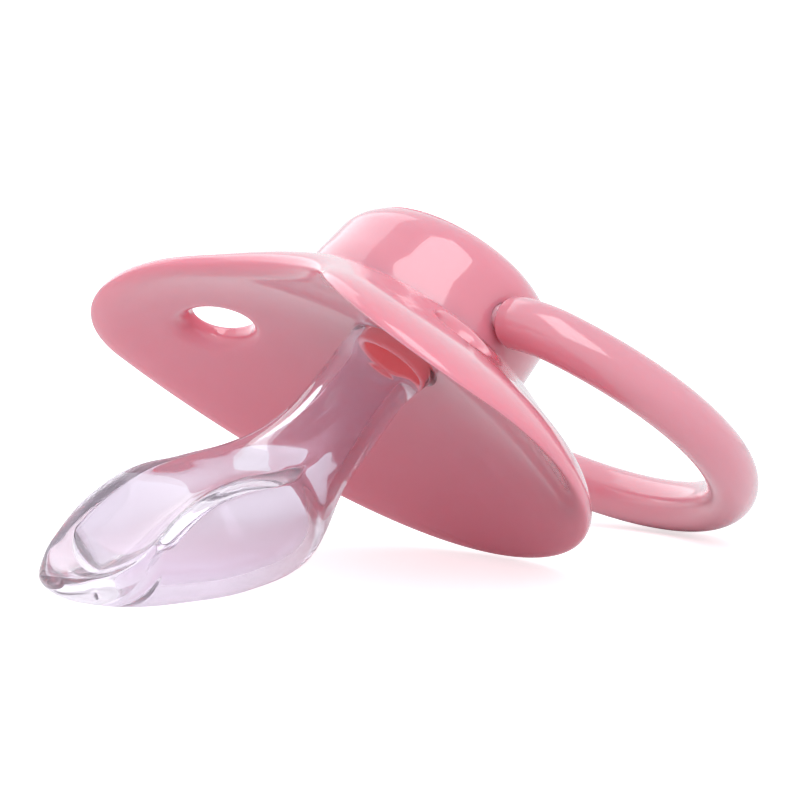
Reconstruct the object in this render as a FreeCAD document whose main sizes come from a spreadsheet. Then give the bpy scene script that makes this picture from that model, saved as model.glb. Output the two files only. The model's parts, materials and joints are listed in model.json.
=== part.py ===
"""Baby pacifier: shield, silicone teat, teat plug, knob and swinging ring.

Every piece is drawn in the pacifier's own design frame, in millimetres:
  x  along the pivot pins of the ring, the long way of the shield
  y  towards the nose notch of the shield
  z  towards the mouth; z = 0 is the middle of the shield's mouth face
The finished pieces are then laid down as the pacifier lies on a table, on the
bulb of its teat and on the lower rim of its shield, with the ring hanging free.
"""
import FreeCAD, Part
import Sketcher
import math
import os
from FreeCAD import Placement, Rotation, Vector

SIZES = {
    # shield: two lobes, a round lower edge and a nose notch
    "lobe_x": 12.0,
    "lobe_y": 5.2,
    "lobe_radius": 9.85,
    "lower_edge": 18.05,
    "notch_edge": 12.2,
    "bowl_radius_x": 36.5,
    "bowl_radius_y": 31.5,
    "shield_wall": 1.6,
    "rim_round": 0.66,
    "hub_radius": 9.0,
    "hub_back": 2.0,
    "vent_x": 13.7,
    "vent_y": 5.5,
    "vent_radius": 2.55,
    "vent_round": 0.4,
    # joint between shield and teat
    "neck_hole_radius": 4.15,
    "recess_radius": 6.6,
    "recess_depth": 0.9,
    "flange_radius": 6.5,
    "flange_thick": 0.9,
    # teat
    "neck_base_radius": 3.95,
    "neck_half_width": 3.4,
    "neck_half_depth": 3.1,
    "bulb_half_width": 8.5,
    "bulb_half_depth": 4.9,
    "neck_wall": 0.95,
    "bulb_wall": 1.5,
    "neck_tilt": 5.0,
    "neck_run": 10.3,
    "bend_radius": 16.6,
    "bulb_tilt": 45.0,
    "bulb_run": 12.0,
    "toe_drop": 1.1,
    "toe_wide": 9.2,
    "toe_deep": 5.9,
    "toe_tip": 0.08,
    # plug inside the teat's neck
    "plug_tube_radius": 2.85,
    "plug_bore_radius": 2.2,
    "plug_reach": 1.2,
    "plug_flange_radius": 6.4,
    "plug_flange_thick": 0.7,
    "plug_round": 0.25,
    # knob
    "knob_radius": 9.0,
    "knob_back": 8.55,
    "knob_round": 3.3,
    "knob_rim_round": 0.2,
    "knob_wall": 1.4,
    "knob_roof": 1.5,
    "boss_radius": 5.6,
    "boss_bore_radius": 4.3,
    "tongue_radius": 8.2,
    "tongue_wall": 0.5,
    "tongue_length": 0.6,
    "groove_slack": 0.05,
    # ring and its pivot
    "pivot_back": 4.0,
    "pin_radius": 1.1,
    "pin_slack": 0.05,
    "pin_inner_end": 6.9,
    "pin_round": 0.25,
    "ring_radius": 16.5,
    "ring_elbow": 4.8,
    "ring_section": 1.93,
    "ring_start": 9.35,
    "ring_end_round": 0.6,
    "ring_drop": 0.5,
    "ring_hang": 82.0,
    # how the pacifier lies
    "lie_angle": 136.3,
}

NEAR = 0.01  # how close counts as the same place

doc = FreeCAD.newDocument("Pacifier")
sheet = doc.addObject("Spreadsheet::Sheet", "Sizes")


def fill_sheet():
    for row, (alias, value) in enumerate(SIZES.items(), start=1):
        sheet.set(f"A{row}", alias)
        sheet.set(f"B{row}", str(value))
        sheet.setAlias(f"B{row}", alias)
    doc.recompute()


def size(alias):
    return float(getattr(sheet, alias))


def spell(formula):
    """The formula as an expression: each alias in it gets the sheet's name."""
    words = formula.replace("(", " ( ").replace(")", " ) ").split()
    return " ".join("Sizes." + word if word in SIZES else word for word in words)


def bind(obj, prop, formula):
    """Ties a property to a formula over the sheet's aliases."""
    obj.setExpression(prop, spell(formula))


def number(obj, formula):
    value = obj.evalExpression(spell(formula))
    return float(getattr(value, "Value", value))


# ---------------------------------------------------------------- sketches


def sketch_on(body, role, name):
    sketch = body.newObject("Sketcher::SketchObject", name)
    plane = next(item for item in body.Origin.OriginFeatures if item.Role == role)
    sketch.AttachmentSupport = (plane, "")
    sketch.MapMode = "FlatFace"
    return sketch


def hold(sketch, kind, place, formula):
    """A dimension of the sketch, tied to the sheet."""
    index = sketch.addConstraint(Sketcher.Constraint(kind, *place, number(sketch, formula)))
    bind(sketch, f"Constraints[{index}]", formula)


def draw_circle(sketch, radius, at_x="0", at_y="0"):
    centre = Vector(number(sketch, at_x), number(sketch, at_y), 0)
    item = sketch.addGeometry(Part.Circle(centre, Vector(0, 0, 1), number(sketch, radius)), False)
    hold(sketch, "Radius", (item,), radius)
    hold(sketch, "DistanceX", (item, 3), at_x)
    hold(sketch, "DistanceY", (item, 3), at_y)


def draw_polygon(sketch, corners):
    """A closed outline of straight lines; each corner is a pair of formulas."""
    points = [Vector(number(sketch, a), number(sketch, b), 0) for a, b in corners]
    count = len(points)
    first = sketch.GeometryCount
    for k in range(count):
        sketch.addGeometry(Part.LineSegment(points[k], points[(k + 1) % count]), False)
    for k in range(count):
        after = first + (k + 1) % count
        sketch.addConstraint(Sketcher.Constraint("Coincident", first + k, 2, after, 1))
    for k, (a, b) in enumerate(corners):
        hold(sketch, "DistanceX", (first + k, 1), a)
        hold(sketch, "DistanceY", (first + k, 1), b)


# ---------------------------------------------------------------- features


def new_body(label):
    body = doc.addObject("PartDesign::Body", label + "_body")
    body.Label = label
    return body


def finish(body, feature):
    """Recomputes the document with this feature as the last one of its body."""
    doc.recompute()
    body.Tip = feature


def finish_cut(body, feature, before):
    """The same for a cut, which must leave less than the volume before it."""
    finish(body, feature)
    if feature.Shape.Volume >= before - 1e-6:
        raise RuntimeError(feature.Name + " cuts nothing")


def pad(body, sketch, length, reverse=False):
    feature = body.newObject("PartDesign::Pad", sketch.Name + "_pad")
    feature.Profile = sketch
    feature.Reversed = reverse
    bind(feature, "Length", length)
    finish(body, feature)


def pocket(body, sketch, length):
    """Cuts the sketch through the body, half the length to each side of its plane."""
    before = body.Tip.Shape.Volume
    feature = body.newObject("PartDesign::Pocket", sketch.Name + "_cut")
    feature.Profile = sketch
    feature.Midplane = True
    bind(feature, "Length", length)
    finish_cut(body, feature, before)


def revolve(body, sketch):
    feature = body.newObject("PartDesign::Revolution", sketch.Name + "_turned")
    feature.Profile = sketch
    feature.ReferenceAxis = (sketch, ["V_Axis"])
    feature.Angle = 360.0
    finish(body, feature)


def turn_profile(body, name, corners):
    """Adds the solid of revolution of a polygon, whose corners are (radius, z)."""
    sketch = sketch_on(body, "XZ_Plane", name)
    draw_polygon(sketch, corners)
    doc.recompute()
    revolve(body, sketch)


def cut_ring(body, name, inner, outer, near, far):
    """Turns away a ring about z, between two radii and two depths behind z = 0."""
    before = body.Tip.Shape.Volume
    sketch = sketch_on(body, "XZ_Plane", name)
    draw_polygon(sketch, [(inner, f"0 - ( {far} )"), (outer, f"0 - ( {far} )"),
                          (outer, f"0 - ( {near} )"), (inner, f"0 - ( {near} )")])
    doc.recompute()
    feature = body.newObject("PartDesign::Groove", name + "_turned")
    feature.Profile = sketch
    feature.ReferenceAxis = (sketch, ["V_Axis"])
    feature.Angle = 360.0
    finish_cut(body, feature, before)


def fillet(body, radius, keep):
    """Rounds the edges of the body for which keep(edge) is true."""
    base = body.Tip
    names = [f"Edge{k}" for k, edge in enumerate(base.Shape.Edges, start=1) if keep(edge)]
    if not names:
        raise RuntimeError(body.Label + " has no edge to round")
    feature = body.newObject("PartDesign::Fillet", f"{body.Label}_round{len(body.Group)}")
    feature.Base = (base, names)
    bind(feature, "Radius", radius)
    finish(body, feature)


def is_circle(edge, radius, height):
    """True for a circle about z with this radius, at this z."""
    curve = edge.Curve
    if not isinstance(curve, Part.Circle):
        return False
    return abs(curve.Radius - radius) < NEAR and abs(curve.Center.z - height) < NEAR


def is_circle_at(edge, x):
    """True for a circle whose centre is this far to either side in x."""
    return isinstance(edge.Curve, Part.Circle) and abs(abs(edge.Curve.Center.x) - x) < NEAR


# ---------------------------------------------------------------- shield


def draw_shield_outline(sketch):
    """Two lobes joined by a round lower edge and a hollow nose notch, all tangent."""
    lobe_x, lobe_y, lobe = size("lobe_x"), size("lobe_y"), size("lobe_radius")
    low, high = size("lower_edge") + lobe_y, size("notch_edge") - lobe_y
    lower_formula = ("( lobe_x * lobe_x + ( lobe_y + lower_edge ) * ( lobe_y + lower_edge )"
                     " - lobe_radius * lobe_radius ) / ( 2 * ( lobe_y + lower_edge - lobe_radius ) )")
    notch_formula = ("( lobe_x * lobe_x + ( notch_edge - lobe_y ) * ( notch_edge - lobe_y )"
                     " - lobe_radius * lobe_radius ) / ( 2 * ( lobe_radius - notch_edge + lobe_y ) )")
    lower = (lobe_x ** 2 + low ** 2 - lobe ** 2) / (2 * (low - lobe))
    notch = (lobe_x ** 2 + high ** 2 - lobe ** 2) / (2 * (lobe - high))
    lower_centre = Vector(0, lower - size("lower_edge"), 0)
    notch_centre = Vector(0, size("notch_edge") + notch, 0)
    lobe_centre = Vector(lobe_x, lobe_y, 0)
    out = lobe_centre - lower_centre
    start = math.atan2(out.y, out.x)
    into = notch_centre - lobe_centre
    end = math.atan2(into.y, into.x)
    up = Vector(0, 0, 1)
    mirrored = Vector(-lobe_x, lobe_y, 0)
    right = Part.ArcOfCircle(Part.Circle(lobe_centre, up, lobe), start, end)
    left = Part.ArcOfCircle(Part.Circle(mirrored, up, lobe), math.pi - end, math.pi - start)
    below = Part.ArcOfCircle(Part.Circle(lower_centre, up, lower), -math.pi - start, start)
    above = Part.ArcOfCircle(Part.Circle(notch_centre, up, notch), -end, end - math.pi)
    arcs = [sketch.addGeometry(arc, False) for arc in (right, left, below, above)]
    right, left, below, above = arcs
    tangent = [(right, 2, above, 2), (above, 1, left, 1), (left, 2, below, 1), (below, 2, right, 1)]
    for ends in tangent:
        sketch.addConstraint(Sketcher.Constraint("Tangent", *ends))
    for item, side in ((right, "lobe_x"), (left, "0 - lobe_x")):
        hold(sketch, "Radius", (item,), "lobe_radius")
        hold(sketch, "DistanceX", (item, 3), side)
        hold(sketch, "DistanceY", (item, 3), "lobe_y")
    hold(sketch, "Radius", (below,), lower_formula)
    hold(sketch, "Radius", (above,), notch_formula)


def draw_bowl_section(sketch):
    """The shield's wall cut along its short way: two concentric arcs."""
    inner, outer = size("bowl_radius_y"), size("bowl_radius_y") + size("shield_wall")
    reach = size("lower_edge") + 4.0
    centre, up = Vector(0, inner, 0), Vector(0, 0, 1)
    ends = {}
    items = []
    for radius in (inner, outer):
        half = math.asin(reach / radius)
        arc = Part.ArcOfCircle(Part.Circle(centre, up, radius), -math.pi / 2 - half, -math.pi / 2 + half)
        items.append(sketch.addGeometry(arc, False))
        ends[radius] = inner - math.sqrt(radius ** 2 - reach ** 2)
    for side, pick in ((-1, 1), (1, 2)):
        line = Part.LineSegment(Vector(side * reach, ends[inner], 0), Vector(side * reach, ends[outer], 0))
        item = sketch.addGeometry(line, False)
        sketch.addConstraint(Sketcher.Constraint("Coincident", item, 1, items[0], pick))
        sketch.addConstraint(Sketcher.Constraint("Coincident", item, 2, items[1], pick))
        sketch.addConstraint(Sketcher.Constraint("Vertical", item))
        hold(sketch, "DistanceX", (item, 1), f"{side} * ( lower_edge + 4 )")
    sketch.addConstraint(Sketcher.Constraint("Coincident", items[0], 3, items[1], 3))
    hold(sketch, "DistanceX", (items[0], 3), "0")
    hold(sketch, "DistanceY", (items[0], 3), "bowl_radius_y")
    hold(sketch, "Radius", (items[0],), "bowl_radius_y")
    hold(sketch, "Radius", (items[1],), "bowl_radius_y + shield_wall")
    axis = sketch.addGeometry(Part.LineSegment(Vector(-5, size("bowl_radius_x"), 0),
                                               Vector(5, size("bowl_radius_x"), 0)), True)
    sketch.addConstraint(Sketcher.Constraint("Horizontal", axis))
    hold(sketch, "DistanceX", (axis, 1), "0 - 5")
    hold(sketch, "DistanceX", (axis, 2), "5")
    hold(sketch, "DistanceY", (axis, 1), "bowl_radius_x")


def make_shield():
    body = new_body("shield")
    section = sketch_on(body, "YZ_Plane", "shield_section")
    draw_bowl_section(section)
    doc.recompute()
    bowl = body.newObject("PartDesign::Revolution", "shield_bowl")
    bowl.Profile = section
    bowl.ReferenceAxis = (section, ["Axis0"])
    bowl.Angle = 88.0
    bowl.Midplane = True
    finish(body, bowl)

    trim = sketch_on(body, "XY_Plane", "shield_outline")
    draw_shield_outline(trim)
    far = "3 * lobe_x"
    draw_polygon(trim, [("0 - " + far, "0 - " + far), (far, "0 - " + far), (far, far), ("0 - " + far, far)])
    pocket(body, trim, "4 * lobe_x")
    fillet(body, "rim_round", lambda edge: on_bowl(edge, 0.0) or on_bowl(edge, size("shield_wall")))

    hub = sketch_on(body, "XY_Plane", "shield_hub")
    draw_circle(hub, "hub_radius")
    pad(body, hub, "hub_back", reverse=True)

    hole = sketch_on(body, "XY_Plane", "shield_neck_hole")
    draw_circle(hole, "neck_hole_radius")
    pocket(body, hole, "6 * hub_back")

    cut_ring(body, "shield_flange_seat", "0", "recess_radius", "hub_back - recess_depth", "hub_back")
    cut_ring(body, "shield_weld_groove", "tongue_radius - tongue_wall - groove_slack",
             "tongue_radius + groove_slack", "hub_back - tongue_length - groove_slack", "hub_back")

    vents = sketch_on(body, "XY_Plane", "shield_vents")
    draw_circle(vents, "vent_radius", "vent_x", "vent_y")
    draw_circle(vents, "vent_radius", "0 - vent_x", "vent_y")
    pocket(body, vents, "4 * lobe_x")
    fillet(body, "vent_round", on_vent)
    return body


def on_vent(edge):
    """True for the mouth-side edge of a vent hole."""
    at = edge.valueAt((edge.FirstParameter + edge.LastParameter) / 2)
    radial = math.hypot(abs(at.x) - size("vent_x"), at.y - size("vent_y"))
    return abs(radial - size("vent_radius")) < NEAR and on_bowl(edge, 0.0)


def on_bowl(edge, depth):
    """True for an edge that lies in the shield's wall, this deep behind its mouth face."""
    for k in range(1, 4):
        at = edge.valueAt(edge.FirstParameter + (edge.LastParameter - edge.FirstParameter) * k / 4)
        across = math.hypot(at.x, size("bowl_radius_x") - at.z)
        deep = size("bowl_radius_x") - across
        from_centre = math.hypot(at.y, size("bowl_radius_y") - deep)
        if abs(from_centre - size("bowl_radius_y") - depth) > NEAR:
            return False
    return True


# ---------------------------------------------------------------- plug and knob


def make_plug():
    """Rigid tube with a flange: it keeps the teat's neck open and clamps its flange."""
    body = new_body("teat_plug")
    seat, back = "0 - hub_back", "0 - ( hub_back + plug_flange_thick )"
    turn_profile(body, "plug_profile", [
        ("plug_bore_radius", back), ("plug_flange_radius", back), ("plug_flange_radius", seat),
        ("plug_tube_radius", seat), ("plug_tube_radius", "plug_reach"), ("plug_bore_radius", "plug_reach")])
    tip = size("plug_reach")
    fillet(body, "plug_round", lambda edge: is_circle(edge, size("plug_tube_radius"), tip)
           or is_circle(edge, size("plug_bore_radius"), tip))
    return body


def make_knob():
    """Cup welded over the hub; its side wall carries the ring, its boss presses the plug."""
    body = new_body("knob")
    rim, top = "0 - hub_back", "0 - knob_back"
    roof = "0 - ( knob_back - knob_roof )"
    wall = "knob_radius - knob_wall"
    weld = "0 - ( hub_back - tongue_length )"
    turn_profile(body, "knob_cup", [
        ("0", top), ("knob_radius", top), ("knob_radius", rim), ("tongue_radius", rim),
        ("tongue_radius", weld), ("tongue_radius - tongue_wall", weld), ("tongue_radius - tongue_wall", rim),
        (wall, rim), (wall, roof), ("0", roof)])
    fillet(body, "knob_round", lambda edge: is_circle(edge, size("knob_radius"), -size("knob_back")))
    fillet(body, "knob_rim_round", lambda edge: is_circle(edge, size("knob_radius"), -size("hub_back")))

    holes = sketch_on(body, "YZ_Plane", "knob_pivot_holes")
    draw_circle(holes, "pin_radius + pin_slack", "0", "0 - pivot_back")
    pocket(body, holes, "3 * knob_radius")

    boss_end = "0 - ( hub_back + plug_flange_thick )"
    turn_profile(body, "knob_boss", [
        ("boss_bore_radius", roof), ("boss_radius", roof), ("boss_radius", boss_end),
        ("boss_bore_radius", boss_end)])
    return body


# ---------------------------------------------------------------- teat


def smooth(low, high, at):
    step = min(max((at - low) / (high - low), 0.0), 1.0)
    return step * step * (3 - 2 * step)


def toe(along, end, reach):
    """How much of a section is left where the teat rounds off towards its end."""
    return math.sqrt(max(1 - max(0.0, (along - end) / reach + 1) ** 2, size("toe_tip") ** 2))


def teat_length():
    bend = size("bend_radius") * math.radians(size("bulb_tilt") - size("neck_tilt"))
    return size("neck_run") + bend + size("bulb_run")


def teat_centre(along):
    """Point and tilt of the teat's centre line: neck run, round bend, bulb run."""
    neck, bulb = math.radians(size("neck_tilt")), math.radians(size("bulb_tilt"))
    run, radius = size("neck_run"), size("bend_radius")
    point = Vector(0, math.sin(neck), math.cos(neck)) * min(along, run)
    if along <= run:
        return point, neck
    tilt = min(neck + (along - run) / radius, bulb)
    point += Vector(0, math.cos(neck) - math.cos(tilt), math.sin(tilt) - math.sin(neck)) * radius
    rest = along - run - radius * (bulb - neck)
    if rest > 0:
        point += Vector(0, math.sin(bulb), math.cos(bulb)) * rest
    return point, tilt


def teat_section(name, along, hollow, length):
    """One elliptical section across the teat: of its skin, or of the hollow inside."""
    flare = 1 - smooth(0.0, 5.0, along)
    wide, deep = smooth(0.30, 0.56, along / length), smooth(0.24, 0.62, along / length)
    end = length - (size("bulb_wall") if hollow else 0.0)
    toe_wide = toe(along, end, size("toe_wide"))
    toe_deep = toe(along, end, size("toe_deep"))
    drop = size("toe_drop") * max(0.0, 2 * along / length - 1) ** 3
    wall = f"( neck_wall + ( bulb_wall - neck_wall ) * {wide:.4f} )" if hollow else "0"
    base = f"neck_base_radius * {flare:.4f} - {wall}"
    width = (f"( ( neck_half_width + ( bulb_half_width - neck_half_width ) * {wide:.4f} ) * {1 - flare:.4f}"
             f" + {base} ) * {toe_wide:.4f}")
    depth = (f"( ( neck_half_depth + ( bulb_half_depth - neck_half_depth ) * {deep:.4f} ) * {1 - flare:.4f}"
             f" + {base} ) * {max(toe_deep * (1 - drop / 2), size("toe_tip")):.4f}")
    ellipse = doc.addObject("Part::Ellipse", name)
    half_depth = number(ellipse, depth)
    bind(ellipse, "MajorRadius", width)
    bind(ellipse, "MinorRadius", depth)
    point, tilt = teat_centre(along)
    point -= Vector(0, math.cos(tilt), -math.sin(tilt)) * half_depth * drop / 2
    ellipse.Placement = Placement(point, Rotation(Vector(1, 0, 0), -math.degrees(tilt)))
    return ellipse


def teat_loft(name, first, hollow, count):
    """A solid through sections: evenly spaced, then closer together around the toe."""
    length = teat_length()
    last = length - (size("bulb_wall") if hollow else 0.0)
    bend = last - size("toe_deep")
    places = [first + (bend - first) * k / count for k in range(count)]
    places += [bend + size("toe_deep") * math.sin(math.pi / 2 * k / 5) for k in range(6)]
    loft = doc.addObject("Part::Loft", name)
    loft.Sections = [teat_section(f"{name}_{k}", along, hollow, length) for k, along in enumerate(places)]
    loft.Solid = True
    loft.Ruled = False
    return loft


def teat_cylinder(name, radius, low, high):
    item = doc.addObject("Part::Cylinder", name)
    bind(item, "Radius", radius)
    bind(item, "Height", f"{high} - ( {low} )")
    bind(item, "Placement.Base.z", low)
    return item


def make_teat():
    """Hollow silicone teat: a flange in the hub, a neck through the shield, a flat bulb."""
    skin = teat_loft("teat_skin", 0.0, False, 11)
    root = teat_cylinder("teat_root", "neck_base_radius", "0 - hub_back", "0.5")
    flange = teat_cylinder("teat_flange", "flange_radius", "0 - hub_back", "flange_thick - hub_back")
    outer = doc.addObject("Part::MultiFuse", "teat_outer")
    outer.Shapes = [skin, root, flange]
    hollow = teat_loft("teat_hollow", size("plug_reach") + 0.1, True, 9)
    socket = teat_cylinder("teat_socket", "plug_tube_radius", "0 - ( hub_back + 1 )", "plug_reach + 0.3")
    inner = doc.addObject("Part::MultiFuse", "teat_inner")
    inner.Shapes = [hollow, socket]
    teat = doc.addObject("Part::Cut", "teat_cut")
    teat.Base = outer
    teat.Tool = inner
    teat.Label = "teat"
    doc.recompute()
    return teat


# ---------------------------------------------------------------- ring


def draw_ring_path(sketch):
    """Elbow, long arc, elbow: the middle line of the ring, from pivot to pivot."""
    big, small, start = size("ring_radius"), size("ring_elbow"), size("ring_start")
    reach = math.sqrt((big - small) ** 2 - start ** 2)
    phi = math.atan2(reach, start)
    up = Vector(0, 0, 1)
    elbow = small + size("ring_drop")
    right = Part.ArcOfCircle(Part.Circle(Vector(start, elbow, 0), up, small), -math.pi / 2, -phi)
    main = Part.ArcOfCircle(Part.Circle(Vector(0, elbow + reach, 0), up, big), -phi, math.pi + phi)
    left = Part.ArcOfCircle(Part.Circle(Vector(-start, elbow, 0), up, small), math.pi + phi, 1.5 * math.pi)
    right, main, left = [sketch.addGeometry(arc, False) for arc in (right, main, left)]
    sketch.addConstraint(Sketcher.Constraint("Tangent", right, 2, main, 1))
    sketch.addConstraint(Sketcher.Constraint("Tangent", main, 2, left, 1))
    hold(sketch, "Radius", (main,), "ring_radius")
    for item, side, end in ((right, "ring_start", 1), (left, "0 - ring_start", 2)):
        hold(sketch, "Radius", (item,), "ring_elbow")
        hold(sketch, "DistanceX", (item, 3), side)
        hold(sketch, "DistanceY", (item, 3), "ring_elbow + ring_drop")
        hold(sketch, "DistanceX", (item, end), side)


def make_ring():
    """Ring handle in its own plane: x along the pins, y away from the pivot."""
    body = new_body("ring")
    path = sketch_on(body, "XY_Plane", "ring_path")
    draw_ring_path(path)
    section = sketch_on(body, "YZ_Plane", "ring_section_circle")
    draw_circle(section, "ring_section", "ring_drop")
    bind(section, "AttachmentOffset.Base.z", "ring_start")
    doc.recompute()
    pipe = body.newObject("PartDesign::AdditivePipe", "ring_pipe")
    pipe.Profile = section
    pipe.Spine = path
    finish(body, pipe)
    fillet(body, "ring_end_round", lambda edge: is_circle_at(edge, size("ring_start")))

    for side, name in ((1, "ring_pin_right"), (-1, "ring_pin_left")):
        pin = sketch_on(body, "YZ_Plane", name)
        draw_circle(pin, "pin_radius")
        bind(pin, "AttachmentOffset.Base.z", f"{side} * pin_inner_end")
        doc.recompute()
        pad(body, pin, "ring_start - pin_inner_end + 1", reverse=side < 0)
    fillet(body, "pin_round", lambda edge: is_circle_at(edge, size("pin_inner_end")))
    return body


# ---------------------------------------------------------------- assembly


def lay_down(pieces, ring):
    """Turns the pacifier about x until it lies, then sets it on z = 0, centred."""
    turn = Rotation(Vector(1, 0, 0), size("lie_angle"))
    hang = Rotation(Vector(1, 0, 0), 270 - size("ring_hang"))
    pivot = Vector(0, 0, -size("pivot_back"))
    for piece in pieces:
        piece.Placement = Placement(Vector(), turn)
    ring.Placement = Placement(turn.multVec(pivot), turn.multiply(hang))
    doc.recompute()
    box = Part.makeCompound([piece.Shape for piece in pieces + [ring]]).optimalBoundingBox(False)
    middle = Vector((box.XMin + box.XMax) / 2, (box.YMin + box.YMax) / 2, box.ZMin)
    for piece in pieces + [ring]:
        piece.Placement = Placement(piece.Placement.Base - middle, piece.Placement.Rotation)
    doc.recompute()
    print("pivot axis passes", [round(value, 3) for value in ring.Placement.Base])


def check(pieces):
    for item in doc.Objects:
        if "Invalid" in item.State or "Error" in item.State:
            raise RuntimeError(item.Name + " failed: " + str(item.State))
    for piece in pieces:
        shape = piece.Shape
        if shape.isNull() or not shape.isValid() or not shape.Solids:
            raise RuntimeError(piece.Label + " has no valid solid")


def write(pieces):
    os.makedirs("parts", exist_ok=True)
    for piece in pieces:
        box = piece.Shape.optimalBoundingBox(False)
        print(f"{piece.Label:10s} {len(piece.Shape.Solids)} solid {piece.Shape.Volume:8.1f} mm3",
              f" x {box.XMin:.2f} {box.XMax:.2f}  y {box.YMin:.2f} {box.YMax:.2f}",
              f" z {box.ZMin:.2f} {box.ZMax:.2f}")
        piece.Shape.exportStep(f"parts/{piece.Label}.step")


fill_sheet()
fixed = [make_shield(), make_teat(), make_plug(), make_knob()]
ring_piece = make_ring()
lay_down(fixed, ring_piece)
check(fixed + [ring_piece])
write(fixed + [ring_piece])
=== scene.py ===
"""Looks of the baby pacifier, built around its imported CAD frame.

Every piece is drawn in the pacifier's design frame, in millimetres, and then laid
down with the CAD's own pivot and lie angle:
  x  along the ring's pivot pins, the long way of the shield
  y  towards the nose notch of the shield
  z  towards the mouth; z = 0 is the middle of the shield's mouth face
"""
import json
import math
import bmesh
import bpy
import numpy as np
from mathutils import Matrix, Vector
from mathutils.geometry import delaunay_2d_cdt

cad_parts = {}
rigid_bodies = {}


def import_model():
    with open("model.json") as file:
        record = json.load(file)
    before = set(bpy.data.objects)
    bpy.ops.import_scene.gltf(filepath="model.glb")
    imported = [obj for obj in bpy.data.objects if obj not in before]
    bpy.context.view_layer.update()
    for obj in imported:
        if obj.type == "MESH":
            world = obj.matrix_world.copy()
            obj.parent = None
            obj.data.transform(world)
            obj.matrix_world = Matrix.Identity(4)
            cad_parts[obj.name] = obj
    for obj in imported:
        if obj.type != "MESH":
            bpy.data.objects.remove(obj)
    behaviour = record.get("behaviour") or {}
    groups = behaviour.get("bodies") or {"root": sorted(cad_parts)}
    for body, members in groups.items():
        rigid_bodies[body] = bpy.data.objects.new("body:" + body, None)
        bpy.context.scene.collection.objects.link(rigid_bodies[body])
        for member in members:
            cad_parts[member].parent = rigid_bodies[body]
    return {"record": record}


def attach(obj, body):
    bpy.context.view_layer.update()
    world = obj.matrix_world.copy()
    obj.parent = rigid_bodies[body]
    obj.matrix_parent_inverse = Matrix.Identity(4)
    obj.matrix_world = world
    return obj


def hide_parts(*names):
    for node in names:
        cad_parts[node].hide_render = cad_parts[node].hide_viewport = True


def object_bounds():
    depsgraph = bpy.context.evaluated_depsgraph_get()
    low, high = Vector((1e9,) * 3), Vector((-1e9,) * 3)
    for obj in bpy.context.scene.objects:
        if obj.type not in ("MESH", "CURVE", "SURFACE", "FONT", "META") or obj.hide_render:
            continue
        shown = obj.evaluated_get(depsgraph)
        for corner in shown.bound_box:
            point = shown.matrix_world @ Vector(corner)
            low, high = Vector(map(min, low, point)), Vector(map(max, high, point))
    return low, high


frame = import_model()
CAD_LOW, CAD_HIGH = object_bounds()
JOINT = frame["record"]["behaviour"]["joints"][0]
PIVOT = Vector(JOINT["pos_m"])
BODY, HANDLE = JOINT["parent"], JOINT["child"]

MM = 0.001
LIE = math.radians(136.3)        # how far the pacifier is turned about x as it lies
FLOOR_GLOW = 0.60                # what the floor seems brighter by to the eye
HANG = math.radians(82.0)        # how far the ring hangs from the pacifier's back
PIVOT_BACK = 4.0                 # depth of the ring's pivot behind the mouth face


# ---------------------------------------------------------------- helpers


def laid(points):
    """Design-frame points in mm, as points of the resting pacifier in metres."""
    p = np.asarray(points, float)
    y, z = p[:, 1], p[:, 2] + PIVOT_BACK
    turned = np.column_stack([
        p[:, 0], y * math.cos(LIE) - z * math.sin(LIE), y * math.sin(LIE) + z * math.cos(LIE)])
    return turned * MM + np.array(PIVOT)


def swung(points):
    """Points of the ring's own plane (x along the pins, y away from them), hung at rest."""
    p = np.asarray(points, float)
    turn = LIE + math.radians(270) - HANG
    turned = np.column_stack([
        p[:, 0], p[:, 1] * math.cos(turn) - p[:, 2] * math.sin(turn),
        p[:, 1] * math.sin(turn) + p[:, 2] * math.cos(turn)])
    return turned * MM + np.array(PIVOT)


def smooth(low, high, at):
    step = np.clip((np.asarray(at, float) - low) / (high - low), 0, 1)
    return step * step * (3 - 2 * step)


def make_piece(name, points, faces, material, node, body):
    mesh = bpy.data.meshes.new(name)
    mesh.from_pydata([tuple(p) for p in points], [], [tuple(f) for f in faces])
    mesh.polygons.foreach_set("use_smooth", [True] * len(mesh.polygons))
    mesh.materials.append(material)
    mesh.validate()
    mesh.update()
    piece = bpy.data.objects.new(name, mesh)
    bpy.context.scene.collection.objects.link(piece)
    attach(piece, body)
    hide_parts(node)
    return piece


def arc(centre, radius, start, end, steps):
    """Points of a circular arc in 2D, angles in degrees."""
    turns = np.radians(np.linspace(start, end, steps + 1))
    return [(centre[0] + radius * math.cos(t), centre[1] + radius * math.sin(t)) for t in turns]


def rounded(corners, radii, steps=8):
    """An open outline of straight lines with its inner corners rounded."""
    out = [corners[0]]
    for k in range(1, len(corners) - 1):
        here = Vector(corners[k])
        back, ahead = (Vector(corners[k - 1]) - here).normalized(), (Vector(corners[k + 1]) - here).normalized()
        radius = radii[k]
        half = back.angle(ahead) / 2
        if radius <= 0 or half > math.pi / 2 - 1e-3:
            out.append(tuple(here))
            continue
        reach = radius / math.tan(half)
        centre = here + (back + ahead).normalized() * radius / math.sin(half)
        first, last = here + back * reach - centre, here + ahead * reach - centre
        for step in range(steps + 1):
            ray = first.lerp(last, step / steps).normalized() * radius
            spread = first.angle(last)
            blend = step / steps
            ray = (first * math.sin((1 - blend) * spread) + last * math.sin(blend * spread)) / math.sin(spread)
            out.append(tuple(centre + ray))
    out.append(corners[-1])
    return out


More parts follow.
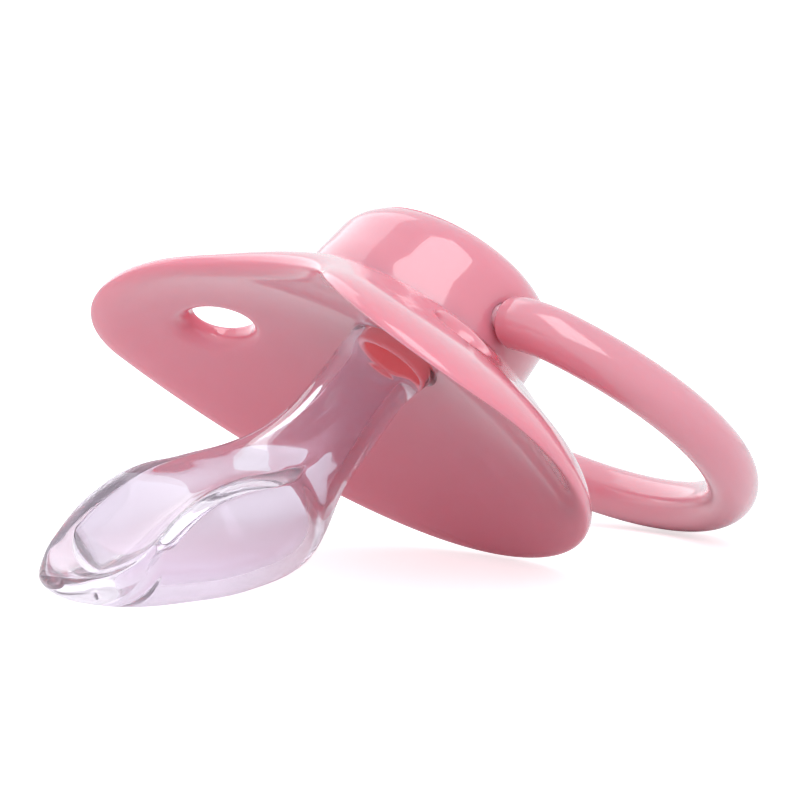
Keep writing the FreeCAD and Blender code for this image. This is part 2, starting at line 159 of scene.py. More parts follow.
def lathe(profile, segments):
    """Closed solid of revolution about z from a profile of (radius, z) points.

    A point with radius 0 makes a pole; a profile with none closes on itself."""
    points, rings = [], []
    for radius, z in profile:
        if radius < 1e-6:
            rings.append([len(points)])
            points.append((0, 0, z))
            continue
        ring = []
        for k in range(segments):
            turn = 2 * math.pi * k / segments
            ring.append(len(points))
            points.append((radius * math.cos(turn), radius * math.sin(turn), z))
        rings.append(ring)
    faces = []
    pairs = list(zip(rings, rings[1:]))
    if profile[0][0] > 1e-6:
        pairs.append((rings[-1], rings[0]))
    for low, high in pairs:
        faces += bridge(low, high)
    return points, faces


def bridge(low, high, closed=True):
    """Faces between two rings of the same count, or between a ring and a pole."""
    count = max(len(low), len(high))
    faces = []
    for k in range(count if closed else count - 1):
        j = (k + 1) % count
        if len(low) == 1:
            faces.append((low[0], high[j], high[k]))
        elif len(high) == 1:
            faces.append((low[k], low[j], high[0]))
        else:
            faces.append((low[k], low[j], high[j], high[k]))
    return faces


# ---------------------------------------------------------------- materials


def new_material(name):
    material = bpy.data.materials.new(name)
    material.use_nodes = True
    nodes = material.node_tree.nodes
    return material, nodes, material.node_tree.links, nodes["Principled BSDF"]


def noise(nodes, links, scale, detail=3.0, roughness=0.5):
    """Noise over the object's own coordinates."""
    place = nodes.new("ShaderNodeTexCoord")
    node = nodes.new("ShaderNodeTexNoise")
    node.inputs["Scale"].default_value = scale
    node.inputs["Detail"].default_value = detail
    node.inputs["Roughness"].default_value = roughness
    links.new(place.outputs["Object"], node.inputs["Vector"])
    return node.outputs["Fac"]


def ramp(nodes, links, source, stops):
    node = nodes.new("ShaderNodeValToRGB")
    node.color_ramp.elements[0].position, node.color_ramp.elements[0].color = stops[0]
    node.color_ramp.elements[1].position, node.color_ramp.elements[1].color = stops[-1]
    for position, colour in stops[1:-1]:
        node.color_ramp.elements.new(position).color = colour
    links.new(source, node.inputs["Fac"])
    return node.outputs["Color"]


def spread(nodes, links, source, low, high):
    node = nodes.new("ShaderNodeMapRange")
    node.inputs["From Min"].default_value = 0.3
    node.inputs["From Max"].default_value = 0.7
    node.inputs["To Min"].default_value = low
    node.inputs["To Max"].default_value = high
    links.new(source, node.inputs["Value"])
    return node.outputs["Result"]


def bump(nodes, links, source, strength, distance):
    node = nodes.new("ShaderNodeBump")
    node.inputs["Strength"].default_value = strength
    node.inputs["Distance"].default_value = distance
    links.new(source, node.inputs["Height"])
    return node.outputs["Normal"]


def moulded_plastic(name, light, dark, subsurface, skin):
    """Slightly translucent moulded plastic with faint flow marks and a fine skin.

    skin is the lowest and highest roughness underneath, then that of the clear skin."""
    material, nodes, links, shader = new_material(name)
    links.new(ramp(nodes, links, noise(nodes, links, 90.0), [(0.3, dark), (0.7, light)]),
              shader.inputs["Base Color"])
    links.new(spread(nodes, links, noise(nodes, links, 260.0), skin[0], skin[1]), shader.inputs["Roughness"])
    links.new(bump(nodes, links, noise(nodes, links, 700.0, 1.0), 0.010, 0.00002), shader.inputs["Normal"])
    shader.inputs["IOR"].default_value = 1.49
    shader.inputs["Subsurface Weight"].default_value = subsurface
    shader.inputs["Subsurface Radius"].default_value = (1.0, 0.3, 0.32)
    shader.inputs["Subsurface Scale"].default_value = 0.0018
    shader.inputs["Coat Weight"].default_value = 1.0
    shader.inputs["Coat Roughness"].default_value = skin[2]
    shader.inputs["Coat IOR"].default_value = 1.65
    return material


def clear_silicone(name):
    """Clear silicone, faintly lilac, with the slight ripple of a moulded skin."""
    material, nodes, links, shader = new_material(name)
    links.new(ramp(nodes, links, noise(nodes, links, 120.0), [(0.3, (0.86, 0.815, 0.88, 1)), (0.7, (0.89, 0.845, 0.91, 1))]),
              shader.inputs["Base Color"])
    links.new(spread(nodes, links, noise(nodes, links, 300.0), 0.015, 0.05), shader.inputs["Roughness"])
    links.new(bump(nodes, links, noise(nodes, links, 420.0, 2.0), 0.12, 0.00005), shader.inputs["Normal"])
    shader.inputs["IOR"].default_value = 1.41
    shader.inputs["Transmission Weight"].default_value = 0.94
    light = nodes.new("ShaderNodeLightPath")
    passing = nodes.new("ShaderNodeBsdfTransparent")
    passing.inputs["Color"].default_value = (0.93, 0.89, 0.92, 1)
    mixed = nodes.new("ShaderNodeMixShader")
    links.new(light.outputs["Is Shadow Ray"], mixed.inputs["Fac"])
    links.new(shader.outputs["BSDF"], mixed.inputs[1])
    links.new(passing.outputs["BSDF"], mixed.inputs[2])
    links.new(mixed.outputs["Shader"], nodes["Material Output"].inputs["Surface"])
    return material


POLISHED, SATIN = (0.13, 0.19, 0.03), (0.14, 0.20, 0.10)
# The shell's pink is deeper and redder and the ring's paler, though both are one plastic: painted shade on the shell,
# painted light on the ring.
PINK_DEEPENED_FOR_SHADE = moulded_plastic("pink_shell_painted_shade", (0.81, 0.275, 0.35, 1), (0.79, 0.26, 0.33, 1), 0.7, POLISHED)
RING_PINK_PALED_FOR_LIGHT = moulded_plastic("pink_ring_painted_light", (0.77, 0.315, 0.385, 1), (0.75, 0.30, 0.365, 1), 0.7, SATIN)
# The plug's red, deeper than the pink, stands for pink plastic in the shade of the bore: painted shade.
PLUG_PAINTED_SHADE_AND_GLOW = moulded_plastic("plug_painted_shade_and_glow", (1.0, 0.12, 0.12, 1), (0.97, 0.11, 0.11, 1), 0.9, POLISHED)
PLUG_SHADER = PLUG_PAINTED_SHADE_AND_GLOW.node_tree.nodes["Principled BSDF"]
# A faint glow of its own stands for the light that reaches the plug through the knob.
PLUG_SHADER.inputs["Emission Color"].default_value = (1.0, 0.15, 0.15, 1)
PLUG_SHADER.inputs["Emission Strength"].default_value = 0.2
SILICONE = clear_silicone("clear_silicone")


# ---------------------------------------------------------------- shield

LOBE_X, LOBE_Y, LOBE_R = 12.0, 5.2, 9.75
LOWER_EDGE, NOTCH_EDGE = 17.95, 12.1
BOWL_X, BOWL_Y = 36.5, 31.5
WALL = 1.6
MOUND, MOUND_FROM, MOUND_TO = 1.0, 9.0, 17.0     # extra thickness towards the knob, and where it fades
RIM_FRONT, RIM_BACK = (2.2, 0.42), (2.3, 0.5)    # rounding at the rim: its width, and its share of the wall
VENT_FRONT, VENT_BACK = (1.0, 0.55), (0.4, 0.22)
NECK_ROUND = 0.1
HUB_R, HUB_BACK = 8.2, 2.0
VENT_X, VENT_Y, VENT_R = 13.7, 5.5, 2.3
NECK_HOLE = 3.35


def shield_outline(inset, count=480):
    """Outline of the shield in plan, moved inwards: lobes, lower edge and nose notch."""
    low, high = LOWER_EDGE + LOBE_Y, NOTCH_EDGE - LOBE_Y
    lower = (LOBE_X ** 2 + low ** 2 - LOBE_R ** 2) / (2 * (low - LOBE_R))
    notch = (LOBE_X ** 2 + high ** 2 - LOBE_R ** 2) / (2 * (LOBE_R - high))
    lower_at = np.array([0, lower - LOWER_EDGE])
    notch_at = np.array([0, NOTCH_EDGE + notch])
    lobe_at = np.array([LOBE_X, LOBE_Y])
    start = math.atan2(*(lobe_at - lower_at)[::-1])
    end = math.atan2(*(notch_at - lobe_at)[::-1])
    pieces = [
        (lobe_at, LOBE_R - inset, start, end),
        (notch_at, notch + inset, end - math.pi, -end),
        (lobe_at * (-1, 1), LOBE_R - inset, math.pi - end, math.pi - start),
        (lower_at, lower - inset, -math.pi - start, start)]
    line = []
    for centre, radius, first, last in pieces:
        turns = np.linspace(first, last, 200, endpoint=False)
        line.append(centre + radius * np.column_stack([np.cos(turns), np.sin(turns)]))
    line = np.concatenate(line)
    closed = np.vstack([line, line[:1]])
    run = np.concatenate([[0], np.cumsum(np.linalg.norm(np.diff(closed, axis=0), axis=1))])
    at = np.linspace(0, run[-1], count, endpoint=False)
    return np.column_stack([np.interp(at, run, closed[:, 0]), np.interp(at, run, closed[:, 1])])


def level(plan, share, lift=0.0):
    """Points over a plan, at this share of the wall's depth from the mouth face, and lifted towards it."""
    x, y = plan[:, 0], plan[:, 1]
    wall = WALL + MOUND * (1 - smooth(MOUND_FROM, MOUND_TO, np.hypot(x, y)))
    depth = share * wall - lift
    sag = BOWL_Y - np.sqrt((BOWL_Y + depth) ** 2 - y ** 2)
    return np.column_stack([x, y, BOWL_X - np.sqrt((BOWL_X - sag) ** 2 - x ** 2)])


def circle(at, radius, count):
    turns = np.linspace(0, 2 * math.pi, count, endpoint=False)
    return np.array(at) + radius * np.column_stack([np.cos(turns), np.sin(turns)])


def fill_plan(loops, holes, spacing):
    """Triangulates the area inside the first loop and outside the holes."""
    outer = loops[0]
    low, high = outer.min(axis=0), outer.max(axis=0)
    rows = np.arange(low[1], high[1], spacing * math.sqrt(3) / 2)
    grid = np.array([(x + spacing / 2 * (k % 2), y) for k, y in enumerate(rows)
                     for x in np.arange(low[0], high[0], spacing)])
    keep = inside(grid, outer)
    for loop in loops:
        near = np.array([np.min(np.sum((loop - g) ** 2, axis=1)) for g in grid])
        keep &= near > (0.75 * spacing) ** 2
    for centre, radius in holes:
        keep &= np.sum((grid - centre) ** 2, axis=1) > radius ** 2
    grid = grid[keep]
    points = np.vstack(loops + [grid])
    edges, start = [], 0
    for loop in loops:
        edges += [(start + k, start + (k + 1) % len(loop)) for k in range(len(loop))]
        start += len(loop)
    found = delaunay_2d_cdt([Vector(p) for p in points], edges, [], 0, 1e-6)
    verts, faces = np.array([tuple(v) for v in found[0]]), found[2]
    middles = np.array([verts[list(f)].mean(axis=0) for f in faces])
    good = inside(middles, outer)
    for centre, radius in holes:
        good &= np.sum((middles - centre) ** 2, axis=1) > radius ** 2
    assert len(verts) == len(points)
    order = [found[3][k][0] for k in range(len(verts))]
    back = np.empty(len(verts), int)
    back[np.arange(len(verts))] = order
    faces = [tuple(int(back[i]) for i in f) for f, ok in zip(faces, good) if ok]
    fixed = []
    for a, b, c in faces:
        pa, pb, pc = points[a], points[b], points[c]
        turn = (pb[0] - pa[0]) * (pc[1] - pa[1]) - (pb[1] - pa[1]) * (pc[0] - pa[0])
        fixed.append((a, b, c) if turn > 0 else (a, c, b))
    return points, fixed


def inside(points, loop):
    result = np.zeros(len(points), bool)
    x, y = points[:, 0], points[:, 1]
    ahead = np.roll(loop, -1, axis=0)
    for (x0, y0), (x1, y1) in zip(loop, ahead):
        crosses = (y0 > y) != (y1 > y)
        if y1 != y0:
            result ^= crosses & (x < (x1 - x0) * (y - y0) / (y1 - y0) + x0)
    return result


def edge_steps(front, back, steps=9):
    """(inset, share of the wall) pairs round an edge; front and back are its (width, share) roundings."""
    out = []
    for k in range(1, steps + 1):
        turn = math.pi / 2 * k / steps
        out.append((front[0] * (1 - math.sin(turn)), front[1] * (1 - math.cos(turn))))
    for k in range(steps, 0, -1):
        turn = math.pi / 2 * k / steps
        out.append((back[0] * (1 - math.sin(turn)), 1 - back[1] * (1 - math.cos(turn))))
    return out


def make_shield():
    rim_count, vent_count, hub_count = 480, 96, 192
    vents = [np.array([VENT_X, VENT_Y]), np.array([-VENT_X, VENT_Y])]
    unit = circle((0, 0), 1.0, hub_count)
    points, faces = [], []

    def add(new):
        first = sum(len(p) for p in points)
        points.append(np.asarray(new))
        return list(range(first, first + len(new)))

    def face(share, inset, vent_radius, hub_radius, flip):
        """One face of the wall with its rings: rim, both vents, hub."""
        loops = [shield_outline(inset, rim_count)]
        loops += [circle(at, vent_radius, vent_count) for at in vents]
        loops.append(unit * hub_radius)
        holes = [(at, vent_radius) for at in vents] + [(np.zeros(2), hub_radius)]
        plan, triangles = fill_plan(loops, holes, 0.5)
        ids = add(level(plan, share))
        for triangle in triangles:
            corner = [ids[k] for k in triangle]
            faces.append(tuple(reversed(corner)) if flip else tuple(corner))
        spots = np.cumsum([0, rim_count, vent_count, vent_count, hub_count])
        return [ids[a:b] for a, b in zip(spots, spots[1:])]

    def chain(last, rings, flip):
        for ring in rings:
            new = ring if isinstance(ring, list) else add(ring)
            faces.extend(tuple(reversed(f)) if flip else f for f in bridge(last, new))
            last = new

    front = face(0.0, RIM_FRONT[0], VENT_R + VENT_FRONT[0], NECK_HOLE + NECK_ROUND, False)
    back = face(1.0, RIM_BACK[0], VENT_R + VENT_BACK[0], HUB_R, True)
    rim = [level(shield_outline(inset, rim_count), share) for inset, share in edge_steps(RIM_FRONT, RIM_BACK, 16)]
    chain(front[0], rim + [back[0]], True)
    for side, at in enumerate(vents):
        hole = [level(circle(at, VENT_R + inset, vent_count), share)
                for inset, share in edge_steps(VENT_FRONT, VENT_BACK, 12)]
        chain(front[1 + side], hole + [back[1 + side]], False)

    neck = []
    for k in range(1, 8):
        turn = math.pi / 2 * k / 7
        neck.append(level(unit * (NECK_HOLE + NECK_ROUND * (1 - math.sin(turn))), 0.0, -NECK_ROUND * (1 - math.cos(turn))))
    seat = rounded([(NECK_HOLE, -0.5), (NECK_HOLE, -1.1), (6.6, -1.1), (6.6, -HUB_BACK), (HUB_R, -HUB_BACK)],
                   [0, 0.08, 0.05, 0.08, 0], 3)
    hub = [np.column_stack([unit * radius, np.full(hub_count, z)]) for radius, z in seat]
    chain(front[3], neck + hub + [back[3]], False)
    return make_piece("shield_shell", laid(np.vstack(points)), faces, PINK_DEEPENED_FOR_SHADE, "shield", BODY)


# ---------------------------------------------------------------- knob and plug

KNOB_R, KNOB_BACK, KNOB_ROUND = 9.0, 8.4, (2.6, 2.6)
KNOB_SLANT = 0.20                # how fast the knob's nose side leans in
SKIRT_R = 8.3                    # inside of the knob's skirt, over the shield's hub
PLUG_REACH = 1.2
PIVOT_HOLE = 1.16


def make_knob():
    """Cup with a skirt that follows the shield's back, and a boss inside for the plug."""
    outer = [(0, -KNOB_BACK)]
    for turn in np.radians(np.linspace(90, 0, 31)):
        outer.append((KNOB_R - KNOB_ROUND[0] * (1 - math.cos(turn)), -KNOB_BACK + KNOB_ROUND[1] * (1 - math.sin(turn))))
    inner = rounded([(SKIRT_R, -2.0), (SKIRT_R, -2.05), (7.6, -2.05), (7.6, -7.05), (5.6, -7.05), (5.6, -2.72),
                     (4.3, -2.72), (4.3, -7.05), (0, -7.05)], [0, 0, 0, 0.3, 0.3, 0.1, 0.1, 0.3, 0], 8)
    profile = outer + [(KNOB_R, -2.09), (KNOB_R, -2.06), (KNOB_R, -2.03), (KNOB_R, -2.0)] + inner
    dense = []
    for a, b in zip(profile, profile[1:]):
        count = max(1, int(math.dist(a, b) / 0.7))
        dense += [(a[0] + (b[0] - a[0]) * k / count, a[1] + (b[1] - a[1]) * k / count) for k in range(count)]
    dense.append(profile[-1])
    points, faces = lathe(dense, 256)
    points = np.array(points)
    radius = np.hypot(points[:, 0], points[:, 1])
    skirt = (points[:, 2] > -2.1) & (radius > KNOB_R - 0.1) | (points[:, 2] > -2.01) & (radius > SKIRT_R - 0.1)
    points[skirt, 2] += level(points[skirt, :2], 1.0, 0.08)[:, 2] + 2.0
    lean = np.clip(-points[:, 2] - 2.5, 0, None) * KNOB_SLANT * np.clip(points[:, 1] / KNOB_R, 0, None) ** 1.5
    outside = radius > 7.7
    side = np.where(outside, lean / np.maximum(radius, 1e-6), lean / KNOB_R)
    points[:, :2] *= (1 - side)[:, None]
    points, faces = bored(laid(points), faces)
    knob = make_piece("knob_cap", points, faces, PINK_DEEPENED_FOR_SHADE, "knob", BODY)
    knob.data.set_sharp_from_angle(angle=math.radians(50))
    return knob


def bored(points, faces):
    """The knob's mesh with the two holes that the ring's pins turn in."""
    pair = []
    pin = [(0, -12.0), (PIVOT_HOLE, -12.0), (PIVOT_HOLE, -7.2), (0, -7.2)]
    holes, hole_faces = lathe(pin, 64)
    holes = np.array(holes)[:, [2, 1, 0]] + (0, 0, -PIVOT_BACK)
    both = np.vstack([holes, holes * (-1, 1, 1)])
    hole_faces = [tuple(reversed(f)) for f in hole_faces] + [tuple(k + len(holes) for k in f) for f in hole_faces]
    for name, spots, sides in (("knob_raw", points, faces), ("knob_holes", laid(both), hole_faces)):
        mesh = bpy.data.meshes.new(name)
        mesh.from_pydata([tuple(p) for p in spots], [], sides)
        mesh.update()
        solid = bmesh.new()
        solid.from_mesh(mesh)
        bmesh.ops.recalc_face_normals(solid, faces=solid.faces)
        solid.to_mesh(mesh)
        solid.free()
        item = bpy.data.objects.new(name, mesh)
        bpy.context.scene.collection.objects.link(item)
        pair.append(item)
    cut = pair[0].modifiers.new("cut", "BOOLEAN")
    cut.operation, cut.solver, cut.object = "DIFFERENCE", "EXACT", pair[1]
    bpy.context.view_layer.update()
    done = pair[0].evaluated_get(bpy.context.evaluated_depsgraph_get()).to_mesh()
    result = [tuple(v.co) for v in done.vertices], [tuple(f.vertices) for f in done.polygons]
    for item in pair:
        mesh = item.data
        bpy.data.objects.remove(item)
        bpy.data.meshes.remove(mesh)
    return result


def make_plug():
    outline = [(2.2, -2.0), (2.2, -2.68), (6.4, -2.68), (6.4, -2.02), (2.84, -2.02), (2.84, PLUG_REACH), (2.2, PLUG_REACH), (2.2, -2.0)]
    profile = rounded(outline, [0, 0.1, 0.1, 0.1, 0, 0.25, 0.25, 0], 5)[:-1]
    points, faces = lathe(profile, 160)
    return make_piece("teat_plug_tube", laid(points), faces, PLUG_PAINTED_SHADE_AND_GLOW, "teat_plug", BODY)


# ---------------------------------------------------------------- teat

# Ribs from the neck to the toe: half width of the ridge, then ridge y and z, keel y and z,
# how far the side bulges past the ridge, and how high the top stands over the ridge.
TEAT_RIBS = np.array([
    (3.60, 0.10, 0.35, -3.40, 0.35, 0.00, 3.50),
    (3.60, 0.60, 3.50, -2.30, 3.60, 0.00, 3.20),
    (3.80, 0.95, 6.60, -2.20, 7.00, 0.00, 2.95),
    (4.40, 2.30, 10.0, -2.00, 11.2, 0.10, 2.00),
    (5.70, 4.40, 13.0, -2.40, 15.1, 0.65, 1.00),
    (6.75, 6.10, 14.9, -2.20, 17.9, 1.15, 0.45),
    (6.50, 9.00, 17.8, 0.20, 22.0, 1.35, -0.80),
    (6.10, 10.75, 20.8, 3.80, 25.6, 1.35, -1.80),
    (6.15, 11.40, 23.6, 6.80, 28.2, 1.05, -2.20),
    (6.00, 11.50, 26.1, 9.20, 29.8, 0.50, -1.80),
    (4.50, 11.95, 28.5, 11.2, 30.8, 0.15, -0.90),
    (3.10, 12.50, 29.5, 12.3, 31.0, 0.05, -0.50),
    (0.00, 14.10, 30.9, 14.1, 30.9, 0.00, 0.00)])
TEAT_POWER = 1.8
TEAT_WALL = 1.15
HOLLOW_FROM, HOLLOW_TO, HOLLOW_END = 2.6, 26.3, 2.2
TEAT_SIDES = 160


def teat_rib(values, half):
    """One closed rib: under the teat from ridge to ridge, then back over its top."""
    wide, ridge_y, ridge_z, keel_y, keel_z, bulge, top = values
    down = np.array([keel_y - ridge_y, keel_z - ridge_z])
    depth = max(float(np.linalg.norm(down)), 1e-6)
    down = down / depth
    under = np.linspace(0, math.pi, half + 1)
    cos, sin = np.cos(under), np.sin(under)
    side = wide * np.sign(cos) * np.abs(cos) ** (2 / TEAT_POWER)
    side += bulge * np.sign(cos) * np.sin(2 * np.minimum(under, math.pi - under))
    drop = depth * np.abs(sin) ** (2 / TEAT_POWER)
    over = np.linspace(math.pi, 2 * math.pi, half + 1)[1:-1]
    hump = np.abs(np.sin(over))
    rise = top * (hump if top > 0 else hump ** 2.6)
    x = np.concatenate([side, wide * np.cos(over)])
    q = np.concatenate([drop, -rise])
    return even(np.column_stack([x, ridge_y + down[0] * q, ridge_z + down[1] * q]))


def even(loop):
    """The same closed loop with its points at equal steps."""
    closed = np.vstack([loop, loop[:1]])
    run = np.concatenate([[0], np.cumsum(np.linalg.norm(np.diff(closed, axis=0), axis=1))])
    at = np.linspace(0, run[-1], len(loop), endpoint=False)
    return np.column_stack([np.interp(at, run, closed[:, k]) for k in range(3)])


def soften(rings, around, ahead):
    """Rounds a stack of rings: so many passes round each ring, and along the stack."""
    grid = np.array(rings)
    for _ in range(around):
        grid = 0.5 * grid + 0.25 * (np.roll(grid, 1, axis=1) + np.roll(grid, -1, axis=1))
    for _ in range(ahead):
        grid[1:-1] = 0.5 * grid[1:-1] + 0.25 * (grid[2:] + grid[:-2])
    return grid


def along(keys, table, at):
    """Smooth interpolation of the table's rows that never overshoots (Fritsch-Carlson)."""
    step = np.diff(keys)[:, None]
    slope = np.diff(table, axis=0) / step
    tangent = np.zeros_like(table)
    before, after = slope[:-1], slope[1:]
    w0, w1 = 2 * step[1:] + step[:-1], step[1:] + 2 * step[:-1]
    same = before * after > 0
    mean = (w0 + w1) / np.where(same, w0 / np.where(same, before, 1) + w1 / np.where(same, after, 1), 1)
    tangent[1:-1] = np.where(same, mean, 0)
    tangent[0], tangent[-1] = slope[0], slope[-1]
    k = np.clip(np.searchsorted(keys, at, side="right") - 1, 0, len(keys) - 2)
    h = step[k]
    t = ((at - keys[k]) / h[:, 0])[:, None]
    return ((1 + 2 * t) * (1 - t) ** 2 * table[k] + t * (1 - t) ** 2 * h * tangent[k]
            + t * t * (3 - 2 * t) * table[k + 1] + t * t * (t - 1) * h * tangent[k + 1])


def teat_skin(count, half):
    steps = np.linalg.norm(np.diff(TEAT_RIBS[:, :3], axis=0), axis=1)
    keys = np.concatenate([[0], np.cumsum(steps)]) / steps.sum()
    at = 1 - (1 - np.linspace(0, 1, count)) ** 1.15
    return [teat_rib(row, half) for row in along(keys, TEAT_RIBS, at)]


def skin_normals(rings):
    """Outward unit normals of a stack of rings."""
    grid = np.array(rings)
    around = np.roll(grid, -1, axis=1) - np.roll(grid, 1, axis=1)
    ahead = np.gradient(grid, axis=0)
    normal = np.cross(around, ahead)
    length = np.linalg.norm(normal, axis=2, keepdims=True)
    normal = normal / np.maximum(length, 1e-9)
    middle = grid.mean(axis=1, keepdims=True)
    outward = np.sum(normal * (grid - middle), axis=(1, 2)).sum()
    return normal if outward > 0 else -normal


def make_teat():
    half = TEAT_SIDES // 2
    skin = soften(teat_skin(190, half), 10, 14)
    tip = skin[-1].mean(axis=0)
    skin = list(skin[:-1])
    core = soften(np.array(skin) - TEAT_WALL * skin_normals(skin), 16, 6)
    first = next(k for k, ring in enumerate(skin) if ring[:, 2].mean() > HOLLOW_FROM)
    last = next(k for k, ring in enumerate(skin) if ring[:, 2].mean() > HOLLOW_TO)
    core = [core[k] for k in range(first, last)]
    end, middle = core[-1], core[-1].mean(axis=0)
    heading = middle - core[-3].mean(axis=0)
    heading *= HOLLOW_END / np.linalg.norm(heading)
    for turn in np.linspace(0, math.pi / 2, 15)[1:-1]:
        core.append(middle + (end - middle) * math.cos(turn) + heading * math.sin(turn))
    core_tip = middle + heading
    turns = np.linspace(0, 2 * math.pi, TEAT_SIDES, endpoint=False)

    def ring(radius, z):
        return np.column_stack([radius * np.cos(turns), radius * np.sin(turns) * -1, np.full(TEAT_SIDES, z)])

    base = [ring(2.86, -1.98), ring(6.3, -1.98), ring(6.45, -1.9), ring(6.45, -1.25), ring(6.3, -1.12), ring(3.4, -1.12),
            ring(3.3, -1.05), ring(3.3, 0.1)]
    base += [level(ring(radius, 0)[:, :2], 0.0, 0.04) for radius in (3.36, 3.42, 3.50, 3.57)]
    socket = [ring(2.86, z) for z in np.linspace(-1.9, PLUG_REACH + 0.1, 10)]
    stack = base + skin
    points = np.vstack(stack + [tip[None]] + socket + core + [core_tip[None]])
    faces = []
    ids = [list(range(k * TEAT_SIDES, (k + 1) * TEAT_SIDES)) for k in range(len(stack))]
    for a, b in zip(ids, ids[1:]):
        faces += bridge(a, b)
    tip_id = len(stack) * TEAT_SIDES
    faces += bridge(ids[-1], [tip_id])
    inner = [ids[0]]
    for k in range(len(socket) + len(core)):
        start = tip_id + 1 + k * TEAT_SIDES
        inner.append(list(range(start, start + TEAT_SIDES)))
    for a, b in zip(inner, inner[1:]):
        faces += [tuple(reversed(f)) for f in bridge(a, b)]
    core_id = tip_id + 1 + (len(socket) + len(core)) * TEAT_SIDES
    faces += [tuple(reversed(f)) for f in bridge(inner[-1], [core_id])]
    faces = [tuple(reversed(f)) for f in faces]
    return make_piece("teat_skin", laid(points), faces, SILICONE, "teat", BODY)


# ---------------------------------------------------------------- ring


def make_ring():
    """Tube along elbow, long arc and elbow, with a rounded shoulder and a pin at each end."""
    big, small, start, drop, tube, pin = 16.5, 4.8, 9.35, 0.5, 1.93, 1.1
    reach = math.sqrt((big - small) ** 2 - start ** 2)
    phi = math.degrees(math.atan2(reach, start))
    elbow = small + drop
    half = arc((start, elbow), small, -90, -phi, 24)[:-1] + arc((0, elbow + reach), big, -phi, 90, 110)
    line = half + [(-x, y) for x, y in half[-2::-1]]
    radii = [tube] * len(line)
    offsets = [0.0] * len(line)
    shoulder = 0.6
    head, head_r = [], []
    for x, y, r in [(6.9, 0, 0.0), (6.9, 0, pin - 0.25), (6.97, 0, pin - 0.08), (7.15, 0, pin), (8.2, 0, pin), (9.3, 0, pin)]:
        head.append((x, y))
        head_r.append(r)
    for k in range(0, 9):
        turn = math.pi / 2 * k / 8
        head.append((start + shoulder * (1 - math.cos(turn)) - 0.0, drop))
        head_r.append(tube - shoulder + shoulder * math.sin(turn))
    body = [p for p in line if p[0] > start + shoulder or p[1] > elbow]
    skip = [k for k, p in enumerate(line) if not (abs(p[0]) < start + shoulder and p[1] < elbow * 0.9)]
    body = [line[k] for k in skip]
    path = head + body + [(-x, y) for x, y in head[::-1]]
    rads = head_r + [tube] * len(body) + head_r[::-1]
    path = np.array(path, float)
    flat = len(head)
    sides = 72
    points, rings = [], []
    for k, ((x, y), r) in enumerate(zip(path, rads)):
        if k < flat:
            tangent = np.array([1.0, 0.0])
        elif k >= len(path) - flat:
            tangent = np.array([-1.0, 0.0]) * -1
            tangent = np.array([1.0, 0.0])
        else:
            tangent = path[k + 1] - path[k - 1]
            tangent /= np.linalg.norm(tangent)
        across = np.array([tangent[1], -tangent[0]])
        if k < flat or k >= len(path) - flat:
            across = np.array([0.0, -1.0])
        if k >= len(path) - flat:
            across = np.array([0.0, -1.0])
        if r < 1e-6:
            rings.append([len(points)])
            points.append((x, y, 0))
            continue
        ring = []
        for j in range(sides):
            turn = 2 * math.pi * j / sides
            ring.append(len(points))
            points.append((x + across[0] * r * math.cos(turn), y + across[1] * r * math.cos(turn), r * math.sin(turn)))
        rings.append(ring)
    faces = []
    for a, b in zip(rings, rings[1:]):
        faces += bridge(a, b)
    return make_piece("ring_handle", swung(points), faces, RING_PINK_PALED_FOR_LIGHT, "ring", HANDLE)


# ---------------------------------------------------------------- stage


def make_floor():
    """A pale floor, printed a little brighter for the eye than for what it lights."""
    material, nodes, links, shader = new_material("floor")
    links.new(ramp(nodes, links, noise(nodes, links, 14.0),
                   [(0.3, (0.88, 0.88, 0.885, 1)), (0.7, (0.90, 0.90, 0.905, 1))]),
              shader.inputs["Base Color"])
    shader.inputs["Roughness"].default_value = 0.8
    shader.inputs["Specular IOR Level"].default_value = 0.1
    path = nodes.new("ShaderNodeLightPath")
    seen = nodes.new("ShaderNodeMath")
    seen.operation = "MULTIPLY_ADD"
    seen.inputs[1].default_value = 0.35
    links.new(path.outputs["Is Transmission Ray"], seen.inputs[0])
    links.new(path.outputs["Is Camera Ray"], seen.inputs[2])
    glow = nodes.new("ShaderNodeMath")
    glow.operation = "MULTIPLY"
    glow.inputs[1].default_value = FLOOR_GLOW
    links.new(seen.outputs[0], glow.inputs[0])
    links.new(glow.outputs[0], shader.inputs["Emission Strength"])
    shader.inputs["Emission Color"].default_value = (1, 1, 1, 1)
    size = 12.0
    mesh = bpy.data.meshes.new("floor")
    mesh.from_pydata([(-size, -size, 0), (size, -size, 0), (size, size, 0), (-size, size, 0)], [], [(0, 1, 2, 3)])
    mesh.materials.append(material)
    floor = bpy.data.objects.new("floor", mesh)
    floor.location.z = CAD_LOW.z - 0.0002
    bpy.context.scene.collection.objects.link(floor)


def make_lamp(name, toward, distance, size, radiance, colour=(1, 1, 1), spin=0.0):
    """A softbox seen from the pacifier in this direction, of this radiance."""
    lamp = bpy.data.lights.new(name, "AREA")
    lamp.shape = "RECTANGLE"
    lamp.size, lamp.size_y = size
    lamp.energy = radiance * math.pi * size[0] * size[1]
    lamp.color = colour
    item = bpy.data.objects.new(name, lamp)
    toward = Vector(toward).normalized()
    item.location = (CAD_LOW + CAD_HIGH) / 2 + toward * distance
    item.rotation_mode = "QUATERNION"
    item.rotation_quaternion = (-toward).to_track_quat("-Z", "Y") @ Matrix.Rotation(math.radians(spin), 3, "Z").to_quaternion()
    bpy.context.scene.collection.objects.link(item)
    return item


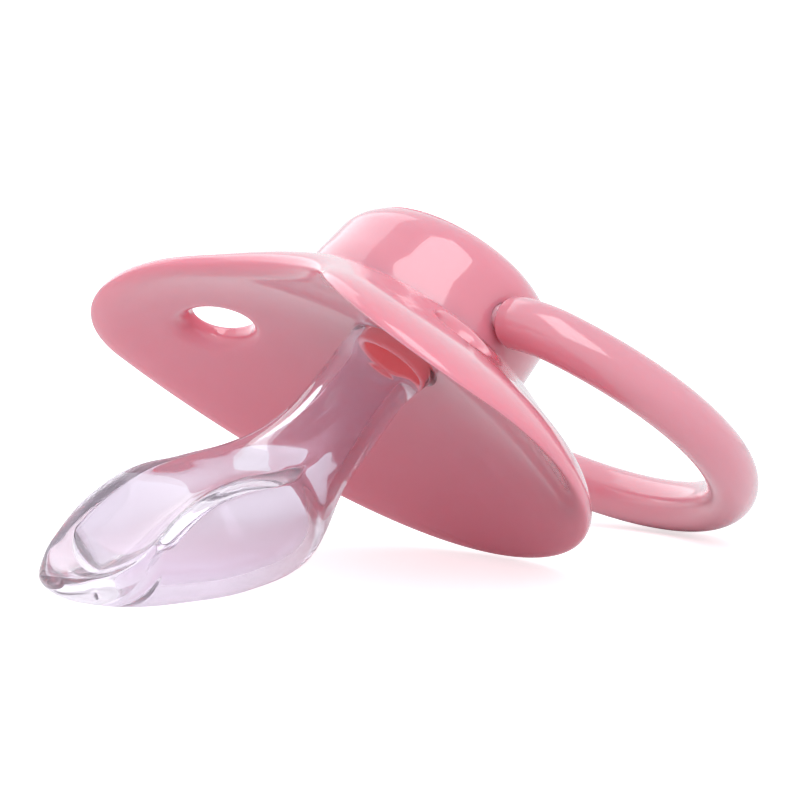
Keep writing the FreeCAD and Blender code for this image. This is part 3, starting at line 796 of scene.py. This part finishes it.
def make_lights():
    make_lamp("key_softbox", (0.62, -0.22, 0.75), 1.0, (0.62, 1.25), 2.3, (0.96, 0.98, 1.0))
    make_lamp("left_softbox", (-0.80, -0.10, 0.60), 1.0, (1.1, 1.1), 0.8, (0.95, 0.97, 1.0))
    world = bpy.data.worlds.new("studio")
    world.use_nodes = True
    nodes, links = world.node_tree.nodes, world.node_tree.links
    shade = nodes["Background"]
    shade.inputs["Color"].default_value = (0.98, 0.96, 1, 1)
    path = nodes.new("ShaderNodeLightPath")
    strength = nodes.new("ShaderNodeMath")
    strength.operation = "MULTIPLY_ADD"
    strength.inputs[1].default_value = 0.4
    strength.inputs[2].default_value = 0.6
    either = nodes.new("ShaderNodeMath")
    either.operation = "MAXIMUM"
    links.new(path.outputs["Is Glossy Ray"], either.inputs[0])
    links.new(path.outputs["Is Transmission Ray"], either.inputs[1])
    links.new(either.outputs[0], strength.inputs[0])
    links.new(strength.outputs[0], shade.inputs["Strength"])
    bpy.context.scene.world = world


def make_camera():
    """The photograph's long lens, low over the floor, with a slight roll."""
    right = Vector((0.624, -0.58, -0.524))
    down = Vector((0.079, -0.62, 0.78))
    ahead = Vector((-0.778, -0.528, -0.341))
    distance = 301.19
    place = -(right * -0.21 + down * -3.33 + ahead * distance)
    turn = Matrix.Rotation(LIE, 3, "X")
    axes = [turn @ v for v in (right, -down, -ahead)]
    camera = bpy.data.objects.new("camera", bpy.data.cameras.new("camera"))
    camera.data.lens = 186.5
    camera.data.clip_start, camera.data.clip_end = 0.01, 20
    spin = Matrix((axes[0], axes[1], axes[2])).transposed().to_4x4()
    camera.matrix_world = Matrix.Translation(Vector(laid([tuple(place)])[0])) @ Matrix(spin.to_quaternion().to_matrix()).to_4x4()
    bpy.context.scene.collection.objects.link(camera)
    bpy.context.scene.camera = camera


make_camera()
make_floor()
make_lights()
make_shield()
make_knob()
make_plug()
make_teat()
make_ring()
scene = bpy.context.scene
scene.view_settings.view_transform = "Standard"
scene.cycles.max_bounces = 32
scene.cycles.transmission_bounces = 32
scene.cycles.glossy_bounces = 12
